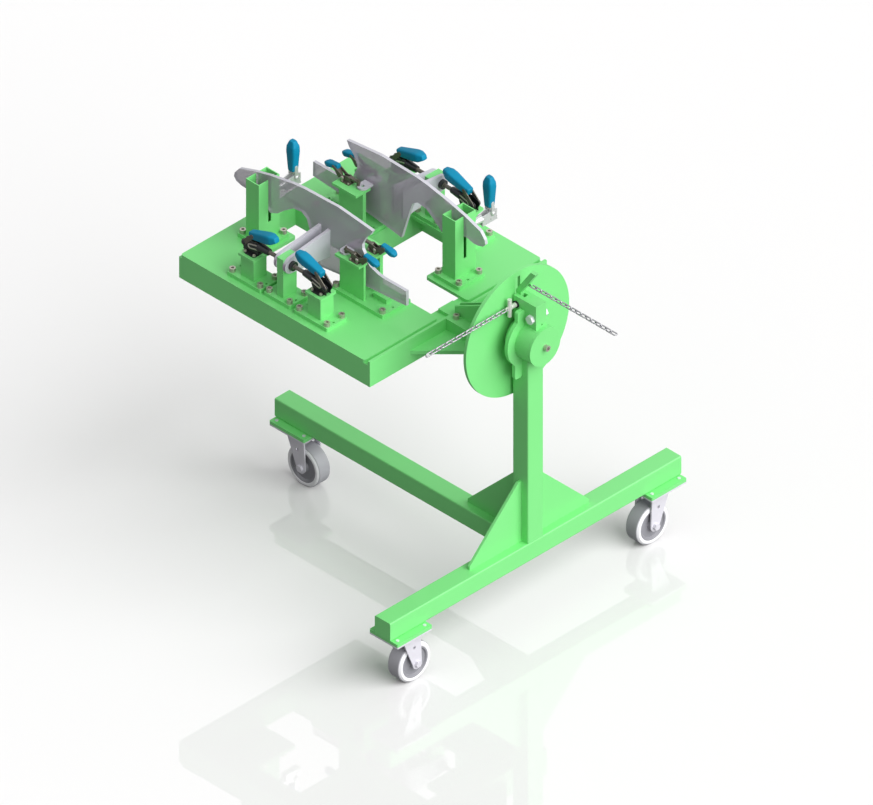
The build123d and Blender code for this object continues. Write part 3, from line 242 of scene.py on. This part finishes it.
def round_material(name, centre, axle, inner, outer, radius, rough=0.5, tread=None):
    """Shades parted by the distance from an axle line: inner and outer, and a third for the tread,
    which starts at a distance of its own."""
    material = finish_material(name, inner, inner, rough, bump=0.05, light="f6f6f6", mottle=25.0)
    nodes, links = material.node_tree.nodes, material.node_tree.links
    place = nodes.new("ShaderNodeTexCoord")
    moved = nodes.new("ShaderNodeVectorMath")
    moved.operation = "SUBTRACT"
    moved.inputs[1].default_value = centre
    links.new(place.outputs["Object"], moved.inputs[0])
    flat = nodes.new("ShaderNodeVectorMath")
    flat.operation = "MULTIPLY"
    flat.inputs[1].default_value = [1 - abs(part) for part in axle]
    links.new(moved.outputs[0], flat.inputs[0])
    reach = nodes.new("ShaderNodeVectorMath")
    reach.operation = "LENGTH"
    links.new(flat.outputs[0], reach.inputs[0])
    shader = nodes["Principled BSDF"]
    # On the wheels the tread colour is painted shade, and the darker hub colour is partly painted shade in
    # its recess
    for start, colour in ((radius, outer), tread or (1.0, outer)):
        step = nodes.new("ShaderNodeMapRange")
        step.inputs["From Min"].default_value = start
        step.inputs["From Max"].default_value = start + SHADE_STEP
        links.new(reach.outputs["Value"], step.inputs["Value"])
        old = shader.inputs["Base Color"].links[0].from_socket
        part = nodes.new("ShaderNodeMix")
        part.data_type = "RGBA"
        part.inputs[MIX_B].default_value = shade(colour)
        links.new(old, part.inputs[MIX_A])
        links.new(step.outputs[0], part.inputs[0])
        links.new(part.outputs[MIX_OUT], shader.inputs["Base Color"])
    return material


def dress(material, *nodes):
    """Put a material on CAD nodes as their only one."""
    for name in nodes:
        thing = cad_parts[name]
        thing.data.materials.clear()
        thing.data.materials.append(material)


dress(GREEN, "cross_beam", "spine_beam", "post", "post_gussets", "caster_pads", "bearing_housing",
      "housing_strap", "head_block", "index_disc", "index_pawl", "end_cap", "table_frame",
      "table_plates", "carrier", "slotted_posts", "pedestals", "stop_blocks", "side_columns")
dress(FORK, "caster_plates", "caster_fork_front", "caster_fork_rear", "caster_fork_spine", "frame_bolts")
dress(PIN, "release_pin")
dress(SCREW, "cap_screws", "clamp_screws")
dress(STEEL, "spindle", "spindle_bearings")
dress(BLACK, "plunger_bush")
dress(CAST, "side_clamp_frames")
dress(BRONZE, "hold_down_frames")
dress(SHEET, "work_piece_front", "work_piece_rear")
for side, end in ((-1, "front"), (1, "rear")):
    dress(round_material(f"side_rod_{end}_steel", (TABLE_X + side * SIDE_REACH, 0, SIDE_Z), (0, 1, 0),
                         "6a665c", "26292b", SIDE_ROD_R, 0.35), f"side_rod_{end}")
    ram = round_material(f"push_rod_{end}_steel", (0, side * PUSH_Y, PUSH_Z), (1, 0, 0),
                         "6a665c", "26292b", PUSH_ROD_R, 0.35)
    for spot in ("inner", "outer"):
        dress(ram, f"push_rod_{end}_{spot}")
        dress(BRONZE, f"hold_arm_{end}_{spot}")
# Wheels of white plastic: the grey tread is painted shade where it turns from the light; the darker grey
# hub is partly its own colour, partly painted shade in its recess
for name, centre, axle in (("front", (POST_X, -WHEEL_Y, WHEEL_R), (1, 0, 0)),
                           ("rear", (POST_X, WHEEL_Y, WHEEL_R), (1, 0, 0)),
                           ("spine", (POST_X - WHEEL_BACK, 0, WHEEL_R), (0, 1, 0))):
    dress(round_material(f"wheel_{name}_grey", centre, axle, "8b8b91", "f2f2f5", WHEEL_HUB_R,
                         tread=(WHEEL_TREAD_R, "b2b2b8")), f"wheel_{name}")


# New pieces

def piece(name, points, faces, material, body, slot):
    """Mesh object from arrays, riding on a body."""
    mesh = bpy.data.meshes.new(name)
    mesh.from_pydata(points.tolist(), [], faces.tolist() if hasattr(faces, "tolist") else faces)
    mesh.materials.append(material)
    thing = bpy.data.objects.new(name, mesh)
    bpy.context.scene.collection.objects.link(thing)
    mesh.shade_smooth()
    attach(thing, body)
    return thing


def grid_faces(rows, columns, start=0, closed_rows=False):
    """Quads of a grid that closes on itself round its columns, and along its rows if asked."""
    i, j = np.meshgrid(np.arange(rows if closed_rows else rows - 1), np.arange(columns), indexing="ij")
    after, beside = (i + 1) % rows, (j + 1) % columns
    quads = np.stack([i * columns + j, after * columns + j,
                      after * columns + beside, i * columns + beside], -1)
    return quads.reshape(-1, 4) + start


def chain_links(first, run, flat, upright, count, step, inside, gap, wire):
    """Welded links: a round wire carried along a stadium, a line, a half circle, a line and a
    half circle, as centre(t) + r (cos a * outward(t) + sin a * across)."""
    rows, sides = 40, 10
    radius = (gap + wire) / 2
    straight = inside + wire - 2 * radius
    length = 2 * straight + 2 * np.pi * radius
    t = np.arange(rows) / rows * length
    turn = np.pi * radius
    along, aside, out_u, out_v = (np.zeros(rows) for _ in range(4))
    first_leg = t < straight
    first_bend = (t >= straight) & (t < straight + turn)
    second_leg = (t >= straight + turn) & (t < 2 * straight + turn)
    second_bend = t >= 2 * straight + turn
    along[first_leg] = t[first_leg] - straight / 2
    aside[first_leg], out_v[first_leg] = radius, 1
    angle = np.pi / 2 - (t[first_bend] - straight) / radius
    along[first_bend] = straight / 2 + radius * np.cos(angle)
    aside[first_bend] = radius * np.sin(angle)
    out_u[first_bend], out_v[first_bend] = np.cos(angle), np.sin(angle)
    along[second_leg] = straight / 2 - (t[second_leg] - straight - turn)
    aside[second_leg], out_v[second_leg] = -radius, -1
    angle = -np.pi / 2 - (t[second_bend] - 2 * straight - turn) / radius
    along[second_bend] = -straight / 2 + radius * np.cos(angle)
    aside[second_bend] = radius * np.sin(angle)
    out_u[second_bend], out_v[second_bend] = np.cos(angle), np.sin(angle)
    ring = np.arange(sides) / sides * 2 * np.pi
    u = along[:, None] + wire / 2 * np.cos(ring) * out_u[:, None]
    v = aside[:, None] + wire / 2 * np.cos(ring) * out_v[:, None]
    w = np.broadcast_to(wire / 2 * np.sin(ring), u.shape)
    run, flat, upright = (np.array(part, float) for part in (run, flat, upright))
    points, faces = [], []
    for number in range(count):
        across = upright if number % 2 else flat
        side = np.cross(across, run)
        middle = np.array(first) + run * step * number
        link = middle + u[..., None] * run + v[..., None] * side + w[..., None] * across
        points.append(link.reshape(-1, 3))
        faces.append(grid_faces(rows, sides, number * rows * sides, True))
    return np.concatenate(points), np.concatenate(faces)


LINK = dict(step=0.0193, inside=0.0196, gap=0.0064, wire=0.004)
RELEASE_START = (POST_X - 0.025, -0.0688, AXIS_Z + 0.109)
RELEASE_LINKS = 16
PULL_START = (POST_X + 0.0218, 0, AXIS_Z + 0.179)
PULL_LINKS = 17

points, faces = chain_links(RELEASE_START, (0, -1, 0), (0, 0, 1), (1, 0, 0), RELEASE_LINKS, **LINK)
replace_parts(piece("release_chain_links", points, faces, CHAIN, "release", "grey_steel"), "release_chain")
points, faces = chain_links(PULL_START, (1, 0, 0), (0, 0, 1), (0, 1, 0), PULL_LINKS, **LINK)
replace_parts(piece("pull_chain_links", points, faces, CHAIN, "pawl", "grey_steel"), "pull_chain")

# Grip: share of its length, and the share of its half width and half thickness there
GRIP_ALONG = [0, 0.012, 0.03, 0.66, 0.82, 0.97, 1]
GRIP_WIDE = [0.60, 0.66, 0.70, 1.0, 0.97, 0.62, 0.52]
GRIP_THICK = [0.66, 0.74, 0.78, 1.0, 0.93, 0.60, 0.50]
GRIP_POWER = 4.5
GRIP_CAP = 0.6
UP = np.array([0, 0, 1.0])


def grip(start, end, across, half_wide, half_thick):
    """Hand grip: superellipse rings along a line, |x/a|^n + |y/b|^n = 1, whose half sizes follow
    straight tapers from the neck to the shoulder and from there to a blunt finger end."""
    sides = 32
    s = np.concatenate([[0.0, 0.0, 0.012, 0.03], np.linspace(0.06, 0.94, 24), [0.97, 0.988, 1.0, 1.0]])
    wide = half_wide * np.interp(s, GRIP_ALONG, GRIP_WIDE)
    thick = half_thick * np.interp(s, GRIP_ALONG, GRIP_THICK)
    wide[[0, -1]], thick[[0, -1]] = wide[[0, -1]] * GRIP_CAP, thick[[0, -1]] * GRIP_CAP
    a = np.arange(sides) / sides * 2 * np.pi
    power = 2 / GRIP_POWER
    x = np.sign(np.cos(a)) * np.abs(np.cos(a)) ** power
    y = np.sign(np.sin(a)) * np.abs(np.sin(a)) ** power
    start, end, across = (np.array(part, float) for part in (start, end, across))
    run = (end - start) / np.linalg.norm(end - start)
    up = np.cross(run, across)
    middle = start + s[:, None] * (end - start)
    points = (middle[:, None, :] + (wide[:, None] * x)[..., None] * across
              + (thick[:, None] * y)[..., None] * up)
    count = len(s)
    caps = [list(range(sides))[::-1], list(range((count - 1) * sides, count * sides))]
    return points.reshape(-1, 3), grid_faces(count, sides).tolist() + caps


def oval_ring(a, b, outer, inner, origin, run, across, low, high):
    """Flat ring about two points: the outline at one radius joined to the same outline at a
    smaller one, on two layers along across."""
    rim, hole = rounded_link(a, b, outer, outer), rounded_link(a, b, inner, inner)
    count = len(rim)
    flat = np.concatenate([rim, hole])
    base = np.array(origin, float) + flat[:, :1] * np.array(run, float) + flat[:, 1:] * UP
    across = np.array(across, float)
    points = np.concatenate([base + across * low, base + across * high])
    i = np.arange(count)
    n = (i + 1) % count
    walls = [np.stack([i, n, n + 2 * count, i + 2 * count], -1),
             np.stack([n + count, i + count, i + 3 * count, n + 3 * count], -1),
             np.stack([i + 2 * count, n + 2 * count, n + 3 * count, i + 3 * count], -1),
             np.stack([n, i, i + count, n + count], -1)]
    return points, np.concatenate(walls).tolist()


def dome(centre, axis, radius, height, rings=5, sides=20):
    """Rivet head: a cap of a sphere-like turn, r(t) = radius cos t, h(t) = height sin t."""
    axis = np.array(axis, float)
    first = np.cross(axis, [0, 0, 1.0]) if abs(axis[2]) < 0.9 else np.array([1.0, 0, 0])
    second = np.cross(axis, first)
    t = np.linspace(0, np.pi / 2 * 0.97, rings)
    a = np.arange(sides) / sides * 2 * np.pi
    around = np.cos(a)[:, None] * first + np.sin(a)[:, None] * second
    points = (np.array(centre, float) + (radius * np.cos(t))[:, None, None] * around[None]
              + (height * np.sin(t))[:, None, None] * axis)
    caps = [list(range(sides))[::-1], list(range((rings - 1) * sides, rings * sides))]
    return points.reshape(-1, 3), grid_faces(rings, sides).tolist() + caps


def joined(*shapes):
    """One list of points and faces from several."""
    points, faces, start = [], [], 0
    for some, sides in shapes:
        points.append(some)
        faces += [[number + start for number in face] for face in sides]
        start += len(some)
    return np.concatenate(points), faces


def strap_plate(outline, origin, run, across, low, high):
    """Flat link: a closed outline of (ahead, up) points carried between two offsets along across."""
    outline = np.array(outline, float)
    count = len(outline)
    base = np.array(origin, float) + outline[:, :1] * np.array(run, float) + outline[:, 1:] * UP
    across = np.array(across, float)
    points = np.concatenate([base + across * low, base + across * high])
    i = np.arange(count)
    sides = np.stack([i, (i + 1) % count, (i + 1) % count + count, i + count], -1).tolist()
    return points, sides + [list(range(count))[::-1], list(range(count, 2 * count))]


def rounded_link(a, b, ra, rb, steps=9):
    """Outline of a link with a round end about each of two points: two arcs joined by tangents."""
    a, b = np.array(a, float), np.array(b, float)
    head = np.arctan2(b[1] - a[1], b[0] - a[0])
    lean = np.arccos(np.clip((ra - rb) / np.linalg.norm(b - a), -1, 1))
    far = head + np.linspace(-lean, lean, steps)
    near = head + np.linspace(lean, 2 * np.pi - lean, steps)
    end = b + rb * np.stack([np.cos(far), np.sin(far)], -1)
    start = a + ra * np.stack([np.cos(near), np.sin(near)], -1)
    return np.concatenate([end, start])


def tidy_normals(thing, width=0.0006):
    """Faces turned outwards, with a small bevel on the rims unless its width is nought."""
    mesh = thing.data
    bpy.context.view_layer.objects.active = thing
    thing.select_set(True)
    bpy.ops.object.mode_set(mode="EDIT")
    bpy.ops.mesh.select_all(action="SELECT")
    bpy.ops.mesh.normals_make_consistent(inside=False)
    bpy.ops.object.mode_set(mode="OBJECT")
    thing.select_set(False)
    if width:
        rim = thing.modifiers.new("rim", "BEVEL")
        rim.width = width
        rim.segments = 2
        rim.limit_method = "ANGLE"
        mesh.shade_smooth()
        thing.modifiers.new("even", "WEIGHTED_NORMAL")


# Links of the clamp handles
LINK_THICK = 0.003
LINK_IN_GRIP = 0.014
RIVET_RISE = 0.003


def handle(tag, node, origin, run, pivot, start, end, gap, half_wide, half_thick, link_material,
           rivet_material, link_r=0.007, bar=0.0):
    """Two round-ended links from the pivot, its rivet heads, and the grip they carry. Spots are
    (ahead, up) from the origin. With a bar, a solid lever fills the room between the links behind
    the body."""
    run = np.array([run[0], run[1], 0.0])
    across = np.array([run[1], -run[0], 0.0])

    def to_world(spot):
        return np.array(origin) + spot[0] * run + spot[1] * UP

    direction = np.array(end) - np.array(start)
    direction = direction / np.linalg.norm(direction)
    inner = np.array(start) + direction * LINK_IN_GRIP
    outline = rounded_link(pivot, inner, link_r, link_r * 0.75)
    body = f"handle_{tag}"
    right, sides = strap_plate(outline, origin, run, across, gap, gap + LINK_THICK)
    left, _ = strap_plate(outline, origin, run, across, -gap - LINK_THICK, -gap)
    plates = [(right, sides), (left, sides)]
    if bar:
        near = np.array(pivot) + direction * bar
        core = rounded_link(near, inner, link_r * 0.8, link_r * 0.8)
        plates.append(strap_plate(core, origin, run, across, -gap, gap))
    links = piece(f"{tag}_links", *joined(*plates), link_material, body, "bare_steel")
    tidy_normals(links)
    knobs = [dome(to_world(pivot) + across * way * (gap + LINK_THICK), across * way, link_r * 0.95,
                  RIVET_RISE) for way in (-1, 1)]
    pins = piece(f"{tag}_rivets", *joined(*knobs), rivet_material, body, "bare_steel")
    tidy_normals(pins, 0)
    points, faces = grip(to_world(start), to_world(end), across, half_wide, half_thick)
    held = piece(f"{tag}_grip", points, faces, GRIP, body, "grip_blue")
    tidy_normals(held, 0)
    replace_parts(held, node)


def turned(profile, origin, run, sides=28):
    """Round tube about a line along X: each (ahead, radius) point of a closed profile goes round,
    (ahead, r cos a, r sin a)."""
    profile = np.array(profile, float)
    a = np.arange(sides) / sides * 2 * np.pi
    points = np.stack([np.broadcast_to(profile[:, :1] * run[0], (len(profile), sides)),
                       profile[:, 1:] * np.cos(a), profile[:, 1:] * np.sin(a)], -1)
    points = points.reshape(-1, 3) + np.array(origin, float)
    return points, grid_faces(len(profile), sides, closed_rows=True).tolist()


# Foot of the push clamps' cast body
FOOT_HALF = 0.021
FOOT_POWER = 0.35
FOOT_LOW = -0.031
FOOT_THICK = 0.004


def clamp_body(origin, run):
    """Cast body of a push clamp about its rod's axis: two cheeks with a round rear, a tapered
    barrel and a foot, |x/h|^n + |y/h|^n = 1 with n = 2 / FOOT_POWER."""
    rear = rounded_link((-0.027, -0.004), (-0.026, -0.006), 0.010, 0.010)
    rear = rear[(rear[:, 0] < -0.0265) & (rear[:, 1] > -0.015)]
    rear = rear[np.argsort(-rear[:, 1])]
    cheek = np.concatenate([[(0.026, 0.0105), (0.010, 0.0125), (-0.012, 0.0105), (-0.022, 0.0075)], rear,
                            [(-0.030, -0.020), (-0.031, -0.0275), (0.020, -0.0275), (0.026, -0.014)]])
    parts = [strap_plate(cheek, origin, run, (0, way, 0), 0.007, 0.010) for way in (-1, 1)]
    parts.append(turned([(0.022, 0.00605), (0.062, 0.00605), (0.062, 0.0098), (0.058, 0.0102),
                         (0.024, 0.0138), (0.022, 0.0132)], origin, run))
    count = 40
    t = np.arange(count) / count * 2 * np.pi
    foot = FOOT_HALF * np.stack([np.sign(np.cos(t)) * np.abs(np.cos(t)) ** FOOT_POWER,
                                 np.sign(np.sin(t)) * np.abs(np.sin(t)) ** FOOT_POWER], -1)
    low = np.column_stack([foot, np.full(count, FOOT_LOW)]) + np.array(origin)
    high = low + (0, 0, FOOT_THICK)
    i = np.arange(count)
    n = (i + 1) % count
    rim = np.stack([i, n, n + count, i + count], -1).tolist()
    caps = [list(range(count))[::-1], list(range(count, 2 * count))]
    parts.append((np.concatenate([low, high]), rim + caps))
    return joined(*parts)


# Each kind of clamp handle, in metres (ahead, up) from the clamp's own origin
PUSH_HANDLE = dict(pivot=(-0.027, -0.004), start=(-0.008, 0.027), end=(0.090, 0.054), gap=0.0105,
                   half_wide=0.0165, half_thick=0.0148, link_material=BRONZE, rivet_material=BLACK,
                   link_r=0.008)
SIDE_HANDLE = dict(pivot=(-0.080, 0.006), start=(-0.0775, 0.027), end=(-0.0775, 0.125), gap=0.0105,
                   half_wide=0.0165, half_thick=0.0148, link_material=CAST, rivet_material=CAST)
HOLD_HANDLE = dict(pivot=(-0.012, 0.012), start=(-0.034, 0.0345), end=(-0.085, 0.024), gap=0.0075,
                   half_wide=0.0112, half_thick=0.0085, link_material=BRONZE, rivet_material=SCREW,
                   link_r=0.0062, bar=0.018)
# Raised ring on each cheek of a push clamp
RING = dict(a=(-0.004, -0.006), b=(0.020, 0.0), outer=0.0085, inner=0.0045, low=0.0095, high=0.0115)

bodies = []
for side, name in ((-1, "front"), (1, "rear")):
    for offset, label in ((PUSH_OUTER, "outer"), (PUSH_INNER, "inner")):
        place = (TABLE_X + side * offset, side * PUSH_Y, PUSH_Z)
        ahead = -side if label == "outer" else side
        handle(f"push_{name}_{label}", f"push_handle_{name}_{label}", place, (ahead, 0), **PUSH_HANDLE)
        rings = [oval_ring(origin=place, run=(ahead, 0, 0), across=(0, way, 0), **RING)
                 for way in (-1, 1)]
        plates = piece(f"push_{name}_{label}_side_rings", *joined(*rings), SCREW, "table", "grey_steel")
        tidy_normals(plates, 0.0004)
        bodies.append(clamp_body(place, (ahead, 0, 0)))
    handle(f"side_{name}", f"side_handle_{name}",
           (TABLE_X + side * SIDE_REACH, side * SIDE_Y + SIDE_PLUNGE, SIDE_Z), (0, -1), **SIDE_HANDLE)
    for y, label in ((HOLD_OUTER, "outer"), (HOLD_INNER, "inner")):
        handle(f"hold_{name}_{label}", f"hold_handle_{name}_{label}",
               (TABLE_X - side * HOLD_REACH, side * y, HOLD_Z), (side, 0), **HOLD_HANDLE)
cast = piece("push_clamp_castings", *joined(*bodies), BLACK, "table", "dark_metal")
tidy_normals(cast, 0.0007)
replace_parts(cast, "push_clamp_frames")


# Floor, light and camera

FLOOR_HALF = 9
PHOTO_WIDTH = 873
PIXELS_PER_METRE = 365.0
VIEW_CENTRE = (-0.0259, 0.0035, 0.510)
CAMERA_AWAY = 5


def make_floor():
    """Glossy floor under the object, pale to the camera and darker to the light it sends back."""
    mesh = bpy.data.meshes.new("studio_floor")
    mesh.from_pydata([(-FLOOR_HALF, -FLOOR_HALF, 0), (FLOOR_HALF, -FLOOR_HALF, 0),
                      (FLOOR_HALF, FLOOR_HALF, 0), (-FLOOR_HALF, FLOOR_HALF, 0)], [], [(0, 1, 2, 3)])
    floor = bpy.data.objects.new("studio_floor", mesh)
    bpy.context.scene.collection.objects.link(floor)
    material = bpy.data.materials.new("studio_white")
    material.use_nodes = True
    nodes, links = material.node_tree.nodes, material.node_tree.links
    shader = nodes["Principled BSDF"]
    shader.inputs["Roughness"].default_value = 0.0
    shader.inputs["Specular IOR Level"].default_value = 0.62
    path = nodes.new("ShaderNodeLightPath")
    tone = nodes.new("ShaderNodeMix")
    tone.data_type = "RGBA"
    tone.inputs[MIX_A].default_value = (0.22, 0.22, 0.22, 1)
    tone.inputs[MIX_B].default_value = (0.885, 0.88, 0.88, 1)
    links.new(path.outputs["Is Camera Ray"], tone.inputs[0])
    links.new(tone.outputs[MIX_OUT], shader.inputs["Base Color"])
    mesh.materials.append(material)


def make_world():
    """White to the camera and to gloss, and a weak even light on the object."""
    world = bpy.data.worlds.new("studio")
    bpy.context.scene.world = world
    world.use_nodes = True
    nodes, links = world.node_tree.nodes, world.node_tree.links
    nodes.clear()
    path = nodes.new("ShaderNodeLightPath")
    seen = nodes.new("ShaderNodeMath")
    seen.operation = "MAXIMUM"
    links.new(path.outputs["Is Camera Ray"], seen.inputs[0])
    links.new(path.outputs["Is Transmission Ray"], seen.inputs[1])
    both = nodes.new("ShaderNodeMath")
    both.operation = "MAXIMUM"
    links.new(seen.outputs[0], both.inputs[0])
    links.new(path.outputs["Is Glossy Ray"], both.inputs[1])
    weak = nodes.new("ShaderNodeBackground")
    weak.inputs["Strength"].default_value = 0.09
    white = nodes.new("ShaderNodeBackground")
    white.inputs["Strength"].default_value = 1.0
    mix = nodes.new("ShaderNodeMixShader")
    links.new(both.outputs[0], mix.inputs[0])
    links.new(weak.outputs[0], mix.inputs[1])
    links.new(white.outputs[0], mix.inputs[2])
    out = nodes.new("ShaderNodeOutputWorld")
    links.new(mix.outputs[0], out.inputs[0])


def make_sun(name, toward, strength, angle):
    """Wide soft sun lamp that shines from the given direction."""
    lamp = bpy.data.lights.new(name, "SUN")
    lamp.energy = strength
    lamp.angle = angle
    thing = bpy.data.objects.new(name, lamp)
    thing.rotation_euler = Vector(toward).to_track_quat("Z", "Y").to_euler()
    bpy.context.scene.collection.objects.link(thing)


def make_camera():
    """Level-true isometric camera of the photograph."""
    lens = bpy.data.cameras.new("photo_view")
    lens.type = "ORTHO"
    lens.ortho_scale = PHOTO_WIDTH / PIXELS_PER_METRE
    lens.clip_end = 10 * CAMERA_AWAY
    thing = bpy.data.objects.new("photo_view", lens)
    toward = Vector((1, -1, 1)).normalized()
    thing.location = Vector(VIEW_CENTRE) + toward * CAMERA_AWAY
    thing.rotation_euler = toward.to_track_quat("Z", "Y").to_euler()
    bpy.context.scene.collection.objects.link(thing)
    bpy.context.scene.camera = thing


make_floor()
make_world()
make_sun("key", (0.82, 0.14, 0.57), 3.68, 1.15)
make_sun("soft_top", (0.15, 0.05, 0.98), 1.2, 2.4)
make_camera()
bpy.context.scene.view_settings.view_transform = "Standard"
